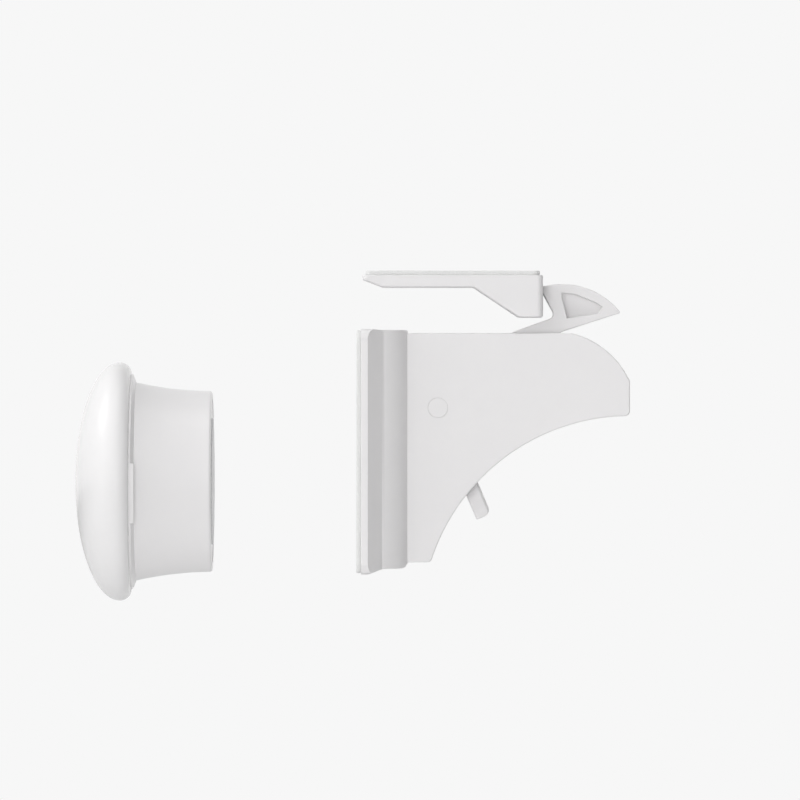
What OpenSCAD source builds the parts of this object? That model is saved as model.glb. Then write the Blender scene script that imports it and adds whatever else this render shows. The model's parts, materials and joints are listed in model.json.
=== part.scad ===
// Cabinet safety lock: a spring latch on the door, a catch under the cabinet's top and a magnetic key.
// Lengths are in millimetres. The origin is the middle of the lock's adhesive pad, on the door's inner
// face. +X points into the cabinet, +Z up, and the door is closed.

/* [Lock flange] */
// Height of the flange that the pad covers
flange_h = 56; // [54:0.5:60]
// Width of the flange
flange_w = 42; // [40:0.5:46]
// Radius of the flange's corners
flange_corner_r = 2.4; // [1:0.1:4]
// Thickness of the lock's adhesive pad
pad_t = 1; // [0.6:0.1:1.2]
// Distance from the door at which the flange's side turns into its bevel
rim_x = 2.6; // [2.2:0.1:3]
// Distance from the door at which the bevel ends and the shoulder starts
bevel_x = 5.8; // [5.2:0.1:6.4]

/* [Shoulder] */
// Distance from the door at which the shoulder meets the body's side walls
shoulder_x = 11.7; // [11:0.1:13]
// Width of the shoulder where the bevel ends
shoulder_w = 32.8; // [31:0.2:36]
// Radius of the shoulder's round
shoulder_r = 9.8; // [8.5:0.1:14]
// Height of the shoulder's top above the origin
shoulder_top = 27.8; // [27.6:0.05:27.9]
// Depth of the shoulder's underside below the origin
shoulder_bottom = 26.8; // [26.4:0.1:27.2]

/* [Lock body] */
// Distance from the door to the body's front face
body_len = 62.6; // [61.5:0.1:64]
// Width of the body
body_w = 20; // [19:0.2:24]
// Height of the body's top above the origin
body_top = 27.1; // [26.9:0.1:27.4]
// Depth of the heel below the origin
heel_depth = 25.4; // [24.8:0.1:25.8]
// Distance of the heel's corner from the door
heel_len = 17; // [16.5:0.1:18]
// Height at which the hollow of the underside reaches the front face
chin_z = 8.1; // [7:0.1:9]
// Height at which the round nose starts on the front face
nose_z = 16.1; // [15:0.1:16.6]
// Radius of the nose
nose_r = 19.9; // [19:0.1:22]
// Wall thickness of the housing
wall = 1.6; // [1.2:0.1:1.8]
// Thickness of the base plate
base_t = 2; // [1.6:0.1:2.2]

/* [Latch] */
// Distance of the pivot from the door
pivot_x = 18.6; // [18.2:0.1:19]
// Height of the pivot above the origin
pivot_z = 10; // [9.6:0.1:10.4]
// Diameter of the pivot pin
pin_d = 3; // [2.4:0.1:3.4]
// Width of the latch
latch_w = 8; // [7:0.1:9]
// Radius of the latch's hub
hub_r = 5; // [4.4:0.1:5.4]
// Angle that the hook swings down to clear the catch
swing_deg = 17; // [15:0.5:17]
// Radius of the hook's crown
crown_r = 17.15; // [16:0.05:19]
// Length of the hook's head, from the foot of its face to its tip
head_len = 15; // [14:0.1:15.6]
// Lean of the hook's face from upright
face_lean = 28.5; // [24:0.5:30]
// Distance from the pivot to the finger lever's tip
lever_reach = 27.2; // [26:0.1:28]
// Width of the finger lever, seen from the side
lever_t = 3.6; // [3:0.1:4]
// Diameter of the latch's magnet
latch_magnet_d = 12; // [10:0.1:12.4]
// Thickness of the latch's magnet
latch_magnet_t = 4; // [3:0.1:4.4]

/* [Catch] */
// Height of the cabinet's underside above the origin
frame_z = 41.4; // [41:0.1:42]
// Length of the catch
catch_len = 41.4; // [40.4:0.1:42]
// Width of the catch
catch_w = 22; // [20:0.5:26]
// Depth of the catch, from the cabinet's underside to the lip
catch_drop = 10.6; // [10.2:0.1:10.8]
// Thickness of the catch's plate
catch_plate_t = 2.7; // [2.5:0.1:3]
// Wall thickness of the catch
catch_wall = 1.8; // [1.5:0.1:2.1]
// Play between the hook's face and the lip when the door is shut
catch_play = 2.05; // [1.9:0.05:2.3]

/* [Key] */
// Thickness of the cabinet's door
door_t = 18; // [16:0.5:22]
// Distance of the key from the door's outer face
key_gap = 15; // [15:0.5:30]
// Diameter of the dome at its rim
dome_d = 54.8; // [53:0.2:58]
// Height of the dome above its rim
dome_h = 10.2; // [9:0.1:12]
// Diameter of the tube at its mouth
tube_d = 41.6; // [41:0.1:43]
// Radius of the tube's flare, seen from the side
flare_r = 80; // [75:1:120]
// Wall thickness of the tube
tube_wall = 1.8; // [1.4:0.1:2]
// Diameter of the key's magnet
key_magnet_d = 20; // [16:0.5:20]
// Thickness of the key's magnet
key_magnet_t = 9; // [8.5:0.1:9.2]

/* [Hidden] */

$fn = 96;
white = [0.93, 0.93, 0.93];
foam = [0.88, 0.88, 0.86];
steel = [0.68, 0.69, 0.71];
nickel = [0.78, 0.77, 0.74];

over = 1;          // how far a cut runs past the face it opens
fit = 0.02;        // clearance of pieces that are pressed or glued together
slip = 0.15;       // clearance of pieces that drop into a recess
run_gap = 0.05;    // radial clearance of the pin in the hub
side_gap = 0.25;   // gap between the hub and the bosses beside it

// Lock: the flange and the shoulder
pad_inset = 0.4;                        // the pad stays inside the flange's edge
bevel_drop = 1.1;                       // how much the bevel takes off the flange's lower edge
bevel_top_drop = 0.2;                   // and off its upper edge
shoulder_corner_r = 1.6;                // round where the shoulder's underside meets the body
shoulder_crest_r = 0.4;                 // round at the shoulder's top
shoulder_sink = 0.4;                    // the shoulder's sides end this deep in the body's walls
rim_wall = 3.2;                         // wall of the flange beside the base plate
seat_t = 1.5;                           // depth of the ledge that the base plate seats on
seat_w = 1.2;                           // width of that ledge
base_x = pad_t + base_t;                // front face of the base plate

// Lock: arcs of the side profile
cove_drop = chin_z + heel_depth;        // the hollow falls this far, from the chin to the heel
cove_r = (pow(body_len - heel_len, 2) + pow(cove_drop, 2)) / (2 * cove_drop);
cove_z = chin_z - cove_r;               // the hollow's centre lies below the front face
nose_rise = 8.3;                        // the nose starts this far above its own centre
nose_centre_z = nose_z - nose_rise;
nose_centre_x = body_len - sqrt(pow(nose_r, 2) - pow(nose_z - nose_centre_z, 2));
chin_r = 1.15;                          // round at the foot of the front face
heel_r = 1;                             // round at the heel's corner

// Lock: screws of the base plate
screw_inset_y = 8.5;                    // screws lie this far inside the flange's sides
screw_inset_z = 7.5;                    // and this far inside its upper and lower edges
screw_dy = flange_w / 2 - screw_inset_y;
screw_dz = flange_h / 2 - screw_inset_z;
screw_r = 1.1;
screw_head_r = 2.1;
screw_head_t = 1.1;
screw_len = 6;
screw_post_r = 2.5;
screw_post_len = 5.2;
screw_spare = 0.4;                      // depth of the pilot hole past the screw's end

// Lock: the pin, its caps and the bosses that hold it
cap_r = 2.3;
cap_t = 1;
pin_spare = 0.1;                        // gap between the pin's end and the cap
boss_r = 2.8;
body_in = body_w / 2 - wall;            // half the width inside the body

// Return spring
wire_d = 0.6;
coil_r = 3.9;
coil_pitch = 1.05;
coil_turns = 2;                         // whole turns, before the last part turn to the latch's leg
arm_deg = 38;                           // direction of the latch's leg, and of the arm
spring_leg = 10;                        // length of the leg that rests on the housing
latch_leg = 13;                         // length of the leg that lifts the latch
spring_rings_per_turn = 8;
spring_sides = 6;
stop_w = 1.4;                           // rib on the housing's wall that holds the spring's leg
stop_h = 3.4;
stop_reach = 1.2;
spring_touch = 0.06;
spring_post_r = 0.9;                    // post on the latch that the other leg lifts
spring_post_h = 1.5;
post_back = 2;                          // the leg runs on this far past the post

// Catch
catch_start = 1.3;                      // gap from the door's inner face to the catch
catch_pad_t = 1;
catch_pad_inset = 0.8;
catch_corner_r = 1.4;
lead_len = 4.75;                        // bevel at the end next to the door
lead_edge = 1.9;
lip_len = 5.5;                          // flat under the catch's end
ramp_len = 10.4;                        // run of the ramp before the lip
catch_roof_t = 1.7;                     // plate over the catch's hollow
catch_end = catch_start + catch_len;
catch_base_z = frame_z - catch_pad_t;   // seat of the catch's own body
plate_z = catch_base_z - catch_plate_t;
lip_z = frame_z - catch_drop;
lip_top = lip_z + catch_wall;
roof_z = catch_base_z - catch_roof_t;
ramp_run = ramp_len / (plate_z - lip_z); // run of the ramp for each unit that it drops
ramp_shift = catch_wall * sqrt(1 + pow(ramp_run, 2)); // the inner face lies this far along X

// Hook: its face looks at the lip, with the play between them
barb_gap = 1.03;                        // the barb's gap below the roof of the catch
foot_rise = 0.12;                       // the foot of the face lies this far above the lip's underside
tip_cut_rise = 0.9;                     // the tip's height above the foot
under_slope = 17.8;                     // slope of the head's lower edge, in degrees
exit_gap = 0.4;                         // height above the body's top where the arm comes out of it
face_x = catch_end + catch_play;        // X of the face at the height of the lip's inner edge
barb = [face_x - (roof_z - barb_gap - lip_top) * tan(face_lean), roof_z - barb_gap];
foot = [face_x + (lip_top - lip_z - foot_rise) * tan(face_lean), lip_z + foot_rise];
tip = [foot[0] + head_len, foot[1] + tip_cut_rise];
under = [tip[0] - (tip[1] - body_top - exit_gap) / tan(under_slope), body_top + exit_gap];
arm_slope = 19.6;                       // slope of the arm's upper edge outside the body
exit = [foot[0] - (foot[1] - body_top - exit_gap) / tan(arm_slope), body_top + exit_gap];
pivot = [pivot_x, pivot_z];
crown = arc_centre(barb, tip, crown_r);
foot_r = 1.2;
far_share = 1.3;                        // the crown's outline is trimmed this far outside its circle
head_rim = 2.1;                         // rim of the head's recess along the crown
head_web = 2;                           // web between the two recesses
recess_shares = [[0.66, 0.25], [0.13, 0.66], [0.23, 0.17]]; // shares of barb and tip, the rest of under

// Latch: the magnet's cup hangs below the pivot and stands square to the door at full swing
magnet_drop = 18;                       // distance from the pivot to the magnet's centre
magnet_deg = 250.3;                     // direction of the magnet from the pivot
cup_wall = 1.2;
cover_t = 1;
leg_w = 6.4;
cup_r = latch_magnet_d / 2 + cup_wall;
magnet_at = [pivot_x + magnet_drop * cos(magnet_deg), pivot_z + magnet_drop * sin(magnet_deg)];

// Latch: finger lever
lever_deg = -67;                        // direction of the lever from the pivot
lever_tip_r = 1.7;
lever_edge = 0.9;                       // width of the bevels along the lever's front edges

// Slots in the housing
slot_gap = 0.5;
hook_slot_x = exit[0] - 4;

// Key: stations are measured from its face, towards the dome
key_z = magnet_at[1];                   // the key's axis lies at the latch magnet's height
key_face_x = -door_t - key_gap;
face_proud = 0.2;                       // the soft face stands proud of the tube's mouth
face_pad_t = 0.8;
face_pad_r = 14.5;
end_plate_t = 2;
end_plate_inset = 0.4;
pole_wall = 2;
pole_base = 2.5;
holder_wall = 1.5;
holder_floor = 2;
partition_t = 2;
magnet_at_u = end_plate_inset + end_plate_t + slip;
pole_end_u = magnet_at_u + key_magnet_t + pole_base;
partition_u = pole_end_u + holder_floor;
seam_u = partition_u + partition_t;     // where the dome's rim starts
collar_h = 1.2;                         // height of the cone between the tube and the dome
collar_w = 2.1;                         // and how far it spreads
mouth_bevel = 0.6;
rim_back = 3.5;                         // depth of the dome's rounded rear
rim_in = 2.3;                           // how far that rear draws in
dome_wall = 2.2;
dome_steps = 24;
rim_steps = 8;
spigot_h = 2;
spigot_wall = 1.6;
cap_seat_w = 1;                         // width of the collar's rim that the cap sits on
lug_w = 13.7;                           // two lugs bridge the collar, a little below the middle
lug_deg = 6;
tube_r = tube_d / 2;
dome_r = dome_d / 2;
flare_at = tube_r + flare_r;            // distance of the flare's centre from the key's axis
neck_u = seam_u - collar_h;
neck_r = flare_at - sqrt(pow(flare_r, 2) - pow(neck_u, 2));
collar_r = neck_r + collar_w;
spigot_r = collar_r - cap_seat_w;
dome_u = seam_u + rim_back;
pole_r = key_magnet_d / 2 + pole_wall;
holder_r = pole_r + fit + holder_wall;
key_screw_at = (holder_r + tube_r - tube_wall) / 2;
key_screw_r = 1.4;
key_screw_head_r = 2.5;
key_screw_head_t = 1.8;
key_screw_len = 10;
key_post_r = 3;
ear_r = 3.1;
ear_web_w = 5.4;                        // width of the web between an ear and the sleeve

// Centre of the arc of radius r that runs from a to b and bulges to the left of that way
function arc_centre(a, b, r) =
    let (mid = (a + b) / 2, run = b - a, half = norm(run) / 2,
         side = [run[1], -run[0]] / norm(run))
    mid + side * sqrt(pow(r, 2) - pow(half, 2));

// A point p of the side view after the latch has swung down by deg
function swung(p, deg) =
    let (q = p - pivot)
    pivot + [q[0] * cos(deg) + q[1] * sin(deg), q[1] * cos(deg) - q[0] * sin(deg)];

// Point at distance d from p in direction deg
function polar(p, d, deg) = p + d * [cos(deg), sin(deg)];

// Where the line from p in direction deg first meets a circle
function along_to_circle(p, deg, centre, r) =
    let (q = p - centre, d = [cos(deg), sin(deg)], along = -(q * d))
    p + d * (along - sqrt(pow(along, 2) - (q * q - pow(r, 2))));

// Extrudes a side view (X, Z) to the given width, centred on the middle plane
module across(width) {
    translate([0, width / 2, 0])
        rotate([90, 0, 0])
            linear_extrude(width)
                children();
}

// A cylinder along Y, centred on the middle plane, at a point of the side view
module along_y(p, r, width) {
    translate([p[0], width / 2, p[1]])
        rotate([90, 0, 0])
            cylinder(r = r, h = width);
}

// A cylinder along X from x, at y and z
module along_x(x, y, z, r, len) {
    translate([x, y, z])
        rotate([0, 90, 0])
            cylinder(r = r, h = len);
}

// A plate square to X with rounded corners
module upright_plate(x, t, w, h, r) {
    intersection() {
        translate([x, -w / 2, -h / 2])
            cube([t, w, h]);
        union() {
            translate([x, -w / 2, -h / 2 + r])
                cube([t, w, h - 2 * r]);
            translate([x, -w / 2 + r, -h / 2])
                cube([t, w - 2 * r, h]);
            for (sy = [-1, 1], sz = [-1, 1])
                along_x(x, sy * (w / 2 - r), sz * (h / 2 - r), r, t);
        }
    }
}

// The bit between a corner p and a circle that touches both its edges, which run in directions a and b.
// It fills an inside corner, or is cut off an outside one.
module corner_bit(p, a, b, r) {
    half = abs(b - a) / 2;
    reach = r / tan(half);
    centre = polar(p, r / sin(half), (a + b) / 2);
    difference() {
        polygon([p, polar(p, reach, a), centre, polar(p, reach, b)]);
        translate(centre) circle(r);
    }
}

// Side view of the body. A positive inset gives the hollow inside it.
module body_outline(inset) {
    back = pad_t + (inset > 0 ? base_t + seat_t : 0);
    chin = [body_len - chin_r, cove_z + sqrt(pow(cove_r + chin_r, 2) - pow(chin_r, 2))];
    heel_z = heel_r - heel_depth;
    heel_x = body_len - sqrt(pow(cove_r + heel_r, 2) - pow(heel_z - cove_z, 2));
    heel_touch = cove_z + (heel_z - cove_z) * cove_r / (cove_r + heel_r);
    difference() {
        translate([back, inset - heel_depth])
            square([body_len - inset - back, heel_depth + body_top - 2 * inset]);
        translate([body_len, cove_z]) circle(cove_r + inset, $fn = 192);
        difference() {
            translate([nose_centre_x, nose_centre_z]) square(nose_r + over);
            translate([nose_centre_x, nose_centre_z]) circle(nose_r - inset);
        }
        if (inset == 0) {
            difference() {
                translate([chin[0], chin_z - over])
                    square([chin_r + over, chin[1] - chin_z + over]);
                translate(chin) circle(chin_r);
            }
            difference() {
                translate([heel_x, -heel_depth - over])
                    square([heel_r + over, heel_touch + heel_depth + over]);
                translate([heel_x, heel_z]) circle(heel_r);
            }
        }
    }
}

// Plan view of the shoulder and flange, one side of the middle plane
module shoulder_plan(inset) {
    start = [bevel_x, shoulder_w / 2];
    end = [shoulder_x, body_w / 2 - shoulder_sink];
    centre = arc_centre(start, end, shoulder_r);
    back = inset > 0 ? base_x : bevel_x - over;
    intersection() {
        translate(centre) circle(shoulder_r - inset);
        translate([back, 0])
            square([shoulder_x - back, shoulder_w / 2]);
    }
}

// Side view of the shoulder, with its rounded front edges
module shoulder_side() {
    front = shoulder_x;
    difference() {
        translate([pad_t, -shoulder_bottom])
            square([front - pad_t, shoulder_bottom + shoulder_top]);
        corner_bit([front, -shoulder_bottom], 90, 180, shoulder_corner_r);
        corner_bit([front, shoulder_top], 180, 270, shoulder_crest_r);
    }
}

// The flange, bevelled on its sides and on its upper and lower edges
module flange() {
    half_w = flange_w / 2;
    half_h = flange_h / 2;
    intersection() {
        upright_plate(pad_t, bevel_x - pad_t, flange_w, flange_h, flange_corner_r);
        translate([0, 0, -half_h])
            linear_extrude(flange_h)
                polygon([[pad_t, -half_w], [rim_x, -half_w], [bevel_x, -shoulder_w / 2],
                         [bevel_x, shoulder_w / 2], [rim_x, half_w], [pad_t, half_w]]);
        across(flange_w)
            polygon([[pad_t, -half_h], [rim_x, -half_h], [bevel_x, bevel_drop - half_h],
                     [bevel_x, half_h - bevel_top_drop], [rim_x, half_h], [pad_t, half_h]]);
    }
}

// The shoulder, from its plan and its side view
module shoulder() {
    intersection() {
        translate([0, 0, -shoulder_bottom])
            linear_extrude(shoulder_bottom + shoulder_top)
                union() {
                    shoulder_plan(0);
                    mirror([0, 1]) shoulder_plan(0);
                }
        across(shoulder_w)
            shoulder_side();
    }
}

// The hollow behind the shoulder, which stops short of the ledge for the base plate
module shoulder_hollow() {
    half = flange_h / 2 - rim_wall - seat_w;
    translate([0, 0, -half])
        linear_extrude(2 * half)
            union() {
                shoulder_plan(wall);
                mirror([0, 1]) shoulder_plan(wall);
            }
}

// Places its children at the four screws of the base plate
module at_screws() {
    for (sy = [-1, 1], sz = [-1, 1])
        translate([0, sy * screw_dy, sz * screw_dz])
            children();
}

module housing() {
    plate_w = flange_w - 2 * rim_wall;
    plate_h = flange_h - 2 * rim_wall;
    lever_tip = polar(pivot, lever_reach, lever_deg);
    lever_in = swung(lever_tip, swing_deg);
    lever_front = polar(pivot, lever_t / 2, lever_deg + 90);
    lever_meets = along_to_circle(lever_front, lever_deg, [body_len, cove_z], cove_r + wall);
    lever_slot_x = lever_in[0] - lever_t / 2 - slot_gap;
    lever_slot_z = lever_in[1] - 2 * lever_t;
    slot_floor = swung(under, swing_deg)[1] - 2 * slot_gap;
    color(white)
    difference() {
        union() {
            difference() {
                union() {
                    flange();
                    shoulder();
                    across(body_w) body_outline(0);
                }
                upright_plate(pad_t - over, base_t + over, plate_w, plate_h, flange_corner_r);
                shoulder_hollow();
                across(2 * body_in) body_outline(wall);
                // Slot that the hook passes through, over the top and down the nose
                translate([hook_slot_x, -latch_w / 2 - slot_gap, slot_floor])
                    cube([body_len, latch_w + 2 * slot_gap, flange_h]);
                // Slot for the finger lever, through the hollow underside
                translate([lever_slot_x, -latch_w / 2 - slot_gap, lever_slot_z])
                    cube([lever_tip[0] + lever_t - lever_slot_x, latch_w + 2 * slot_gap,
                          lever_meets[1] + slot_gap - lever_slot_z]);
            }
            for (s = [-1, 1])
                translate([0, s * (latch_w / 2 + side_gap + body_w / 2 - wall / 2) / 2, 0])
                    along_y(pivot, boss_r, body_w / 2 - wall / 2 - latch_w / 2 - side_gap);
            at_screws()
                along_x(base_x, 0, 0, screw_post_r, screw_post_len);
            spring_stop();
        }
        along_y(pivot, pin_d / 2 + fit, body_w + 2 * over);
        for (s = [-1, 1])
            translate([0, s * (body_w - cap_t + over) / 2, 0])
                along_y(pivot, cap_r + fit, cap_t + over);
        at_screws()
            along_x(base_x - over, 0, 0, screw_r + fit,
                    screw_len - base_t + screw_spare + over);
    }
}

// Rib on the housing's wall that the fixed leg of the spring rests on
module spring_stop() {
    right = pivot_x + coil_r - wire_d / 2 - spring_touch;
    translate([right - stop_w, body_in - stop_reach, pivot_z - spring_leg])
        cube([stop_w, stop_reach + wall / 2, stop_h]);
}

module base_plate() {
    w = flange_w - 2 * rim_wall - 2 * slip;
    h = flange_h - 2 * rim_wall - 2 * slip;
    color(white)
    difference() {
        upright_plate(pad_t, base_t, w, h, flange_corner_r - slip);
        at_screws() {
            along_x(pad_t - over, 0, 0, screw_r + slip, base_t + 2 * over);
            screw_head(fit);
        }
    }
}

// Countersunk head, or the seat for it
module screw_head(gap) {
    translate([pad_t, 0, 0])
        rotate([0, 90, 0])
            cylinder(r1 = screw_head_r + gap, r2 = screw_r + gap, h = screw_head_t + gap);
}

module housing_screws() {
    color(steel)
    at_screws() {
        screw_head(0);
        along_x(pad_t, 0, 0, screw_r, screw_len);
    }
}

module lock_adhesive_pad() {
    color(foam)
        upright_plate(0, pad_t, flange_w - 2 * pad_inset, flange_h - 2 * pad_inset,
                      flange_corner_r - pad_inset);
}

module pivot_pin() {
    color(steel)
        along_y(pivot, pin_d / 2, body_w - 2 * cap_t - 2 * pin_spare);
}

module pin_caps() {
    color(white)
    for (s = [-1, 1])
        translate([0, s * (body_w - cap_t) / 2, 0])
            along_y(pivot, cap_r, cap_t);
}

// The head of the hook in side view: crown, leaning face and straight lower edge
module head_outline() {
    out = barb + tip - 2 * crown;
    far = crown + out / norm(out) * crown_r * far_share;
    difference() {
        intersection() {
            translate(crown) circle(crown_r, $fn = 192);
            polygon([foot, barb, far, polar(tip, over, under_slope), tip, under]);
        }
        translate([tip[0], foot[1] - over]) square(crown_r);
    }
}

// The arm in side view, from the hub to the head
module arm_outline() {
    up = exit - pivot;
    low = under - pivot;
    up_deg = atan2(up[1], up[0]) + acos(hub_r / norm(up));
    low_deg = atan2(low[1], low[0]) - acos(hub_r / norm(low));
    polygon([pivot, polar(pivot, hub_r, up_deg), exit, foot, under,
             polar(pivot, hub_r, low_deg)]);
    face_deg = 90 + face_lean;
    corner_bit(foot, face_deg, 180 + arm_slope, foot_r);
}

// The lever in side view, rounded at the front of its tip
module lever_outline() {
    translate(pivot)
        rotate(lever_deg)
            difference() {
                translate([0, -lever_t / 2]) square([lever_reach, lever_t]);
                corner_bit([lever_reach, lever_t / 2], 180, 270, lever_tip_r);
            }
}

// The recess in the head in side view, a curved triangle that follows the crown
module recess_outline() {
    corners = [for (s = recess_shares) barb * s[0] + tip * s[1] + under * (1 - s[0] - s[1])];
    intersection() {
        translate(crown) circle(crown_r - head_rim);
        polygon([corners[0], polar(corners[0], head_rim, 90), polar(corners[1], head_rim, 60),
                 corners[1], corners[2]]);
    }
}

// Places its children in the frame of the latch magnet: their +Z is the way the magnet looks, which is
// towards the door and square to it at full swing
module at_magnet() {
    translate([magnet_at[0], 0, magnet_at[1]])
        rotate([0, -90 - swing_deg, 0])
            children();
}

module latch_arm() {
    half_t = latch_magnet_t / 2;
    post = polar(polar(pivot, latch_leg - post_back, arm_deg),
                 coil_r - wire_d / 2 - spring_touch - spring_post_r, arm_deg - 90);
    color(white)
    difference() {
        union() {
            across(latch_w) {
                translate(pivot) circle(hub_r);
                arm_outline();
                head_outline();
                lever_outline();
                translate(pivot)
                    rotate(magnet_deg)
                        translate([0, -leg_w / 2]) square([magnet_drop, leg_w]);
            }
            at_magnet()
                translate([0, 0, -half_t - cup_wall])
                    cylinder(r = cup_r, h = latch_magnet_t + cup_wall + cover_t);
            translate([0, latch_w / 2 + spring_post_h / 2, 0])
                along_y(post, spring_post_r, spring_post_h);
        }
        along_y(pivot, pin_d / 2 + run_gap, latch_w + 2 * over);
        at_magnet()
            translate([0, 0, -half_t])
                cylinder(r = latch_magnet_d / 2 + fit, h = latch_magnet_t + cover_t + over);
        at_magnet()
            translate([0, 0, half_t + cover_t])
                cylinder(r = cup_r + over, h = magnet_drop);
        for (s = [-1, 1])
            translate([0, s * (head_web + latch_w) / 2, 0])
                across(latch_w) recess_outline();
        // Bevels along the lever's front edges
        for (s = [-1, 1])
            translate([pivot_x, s * latch_w / 2, pivot_z])
                rotate([0, -lever_deg, 0])
                    translate([hub_r + lever_t, 0, lever_t / 2])
                        rotate([45, 0, 0])
                            translate([0, -lever_edge / 2, -lever_edge / 2])
                                cube([lever_reach, lever_edge, lever_edge]);
    }
}

module latch_magnet() {
    color(nickel)
    at_magnet()
        translate([0, 0, -latch_magnet_t / 2])
            cylinder(r = latch_magnet_d / 2, h = latch_magnet_t);
}

module magnet_cover() {
    color(white)
    at_magnet()
        translate([0, 0, latch_magnet_t / 2])
            cylinder(r = latch_magnet_d / 2, h = cover_t);
}

// Torsion spring: a leg on the housing's rib, the coil round the boss, a leg under the latch's post
function spring_path() =
    let (y = body_in - wire_d / 2 - slip,
         last = coil_turns * 360 + 270 + arm_deg,
         steps = round(last / 360 * spring_rings_per_turn))
    concat(
        [[pivot_x + coil_r, y, pivot_z - spring_leg]],
        [for (i = [0:steps])
            let (a = last * i / steps)
            [pivot_x + coil_r * cos(a), y - coil_pitch * a / 360, pivot_z + coil_r * sin(a)]],
        [let (p = polar(polar(pivot, coil_r, last), latch_leg, arm_deg))
            [p[0], y - coil_pitch * last / 360, p[1]]]);

// A tube of diameter d along the points of path, none of whose steps runs along Y
module tube_along(path, d, sides) {
    n = len(path);
    function unit(v) = v / norm(v);
    function way(i) = unit(path[min(i + 1, n - 1)] - path[max(i - 1, 0)]);
    rings = [for (i = [0:n - 1])
        let (t = way(i), u = unit(cross(t, [0, 1, 0])), v = cross(t, u))
        for (k = [0:sides - 1])
            path[i] + d / 2 * (u * cos(360 * k / sides) + v * sin(360 * k / sides))];
    skin = [for (i = [0:n - 2], k = [0:sides - 1])
        let (a = i * sides + k, b = i * sides + (k + 1) % sides)
        each [[a, b, a + sides], [b, b + sides, a + sides]]];
    ends = [for (k = [1:sides - 2])
        each [[0, k + 1, k], [(n - 1) * sides, (n - 1) * sides + k, (n - 1) * sides + k + 1]]];
    polyhedron(points = rings, faces = concat(skin, ends));
}

module return_spring() {
    color(steel)
        tube_along(spring_path(), wire_d, spring_sides);
}

// Plan of the catch with its rounded corners, as a solid from the lip to the cabinet
module catch_plan(inset) {
    w = catch_w - 2 * inset;
    l = catch_len - 2 * inset;
    r = catch_corner_r;
    translate([catch_start + inset, -w / 2])
        union() {
            translate([r, 0]) square([l - 2 * r, w]);
            translate([0, r]) square([l, w - 2 * r]);
            for (x = [r, l - r], y = [r, w - r])
                translate([x, y]) circle(r);
        }
}

module catch_body() {
    ramp_end = catch_end - lip_len;
    inner_x = ramp_end + ramp_shift;
    color(white)
    difference() {
        intersection() {
            translate([0, 0, lip_z])
                linear_extrude(catch_base_z - lip_z) catch_plan(0);
            across(catch_w)
                polygon([[catch_start, catch_base_z], [catch_end, catch_base_z],
                         [catch_end, lip_z], [ramp_end, lip_z], [ramp_end - ramp_len, plate_z],
                         [catch_start + lead_len, plate_z],
                         [catch_start, frame_z - lead_edge]]);
        }
        // Hollow that the hook's point reaches into, open at the end and closed by the ramp
        across(catch_w - 2 * catch_wall)
            polygon([[catch_end + over, roof_z], [inner_x - (roof_z - lip_z) * ramp_run, roof_z],
                     [inner_x - (lip_top - lip_z) * ramp_run, lip_top],
                     [catch_end + over, lip_top]]);
    }
}

module catch_adhesive_pad() {
    color(foam)
    translate([0, 0, catch_base_z])
        linear_extrude(catch_pad_t) catch_plan(catch_pad_inset);
}

// Places its children in the key's own frame: +Z runs from its face towards the dome
module at_key() {
    translate([key_face_x, 0, key_z])
        rotate([0, -90, 0])
            children();
}

// Places its children at the three screws of the key
module at_key_screws() {
    for (i = [0:2])
        rotate(i * 120)
            translate([key_screw_at, 0, 0])
                children();
}

// Half section of the dome: an ellipse over the rim and a rounded rear under it
module dome_section() {
    dome = [for (i = [1:dome_steps])
        [dome_r * cos(90 * i / dome_steps), dome_u + dome_h * sin(90 * i / dome_steps)]];
    rear = [for (i = [0:rim_steps])
        [dome_r - rim_in + rim_in * sin(90 * i / rim_steps),
         dome_u - rim_back * cos(90 * i / rim_steps)]];
    polygon(concat([[0, seam_u]], rear, dome));
}

// Half section of the hollow in the dome, straight at its mouth so that the mould can leave it
module dome_hollow() {
    a = dome_r - dome_wall;
    b = dome_h - dome_wall;
    mouth = seam_u - over - dome_u;
    start = acos(spigot_r / a);
    polygon(concat([[0, dome_u + mouth], [spigot_r, dome_u + mouth]],
                   [for (i = [0:dome_steps])
                       let (t = start + (90 - start) * i / dome_steps)
                       [a * cos(t), dome_u + b * sin(t)]]));
}

module key_cap() {
    roof = dome_u + dome_h * sqrt(1 - pow((key_screw_at + key_post_r) / dome_r, 2));
    post_end = roof - dome_wall / 2;
    color(white)
    at_key()
    difference() {
        union() {
            rotate_extrude()
                difference() {
                    dome_section();
                    dome_hollow();
                }
            at_key_screws()
                translate([0, 0, seam_u])
                    cylinder(r = key_post_r, h = post_end - seam_u);
        }
        at_key_screws()
            translate([0, 0, seam_u - over])
                cylinder(r = key_screw_r + fit,
                         h = key_screw_len - partition_t - holder_floor + screw_spare + over);
    }
}

// Half section of the key's body: flared tube, partition, collar and spigot
module body_section() {
    difference() {
        intersection() {
            translate([tube_r - tube_wall, face_proud])
                square([neck_r - tube_r + tube_wall, neck_u - face_proud]);
            translate([flare_at, 0]) circle(flare_r + tube_wall, $fn = 240);
        }
        translate([flare_at, 0]) circle(flare_r, $fn = 240);
        translate([tube_r, face_proud])
            rotate(45) square(mouth_bevel * sqrt(2), center = true);
    }
    polygon([[neck_r - tube_wall, neck_u], [neck_r, neck_u], [collar_r, seam_u],
             [neck_r - tube_wall, seam_u]]);
    translate([0, partition_u])
        square([neck_r - tube_wall / 2, partition_t]);
    translate([spigot_r - spigot_wall, partition_u])
        square([spigot_wall - fit, partition_t + spigot_h]);
}

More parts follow.
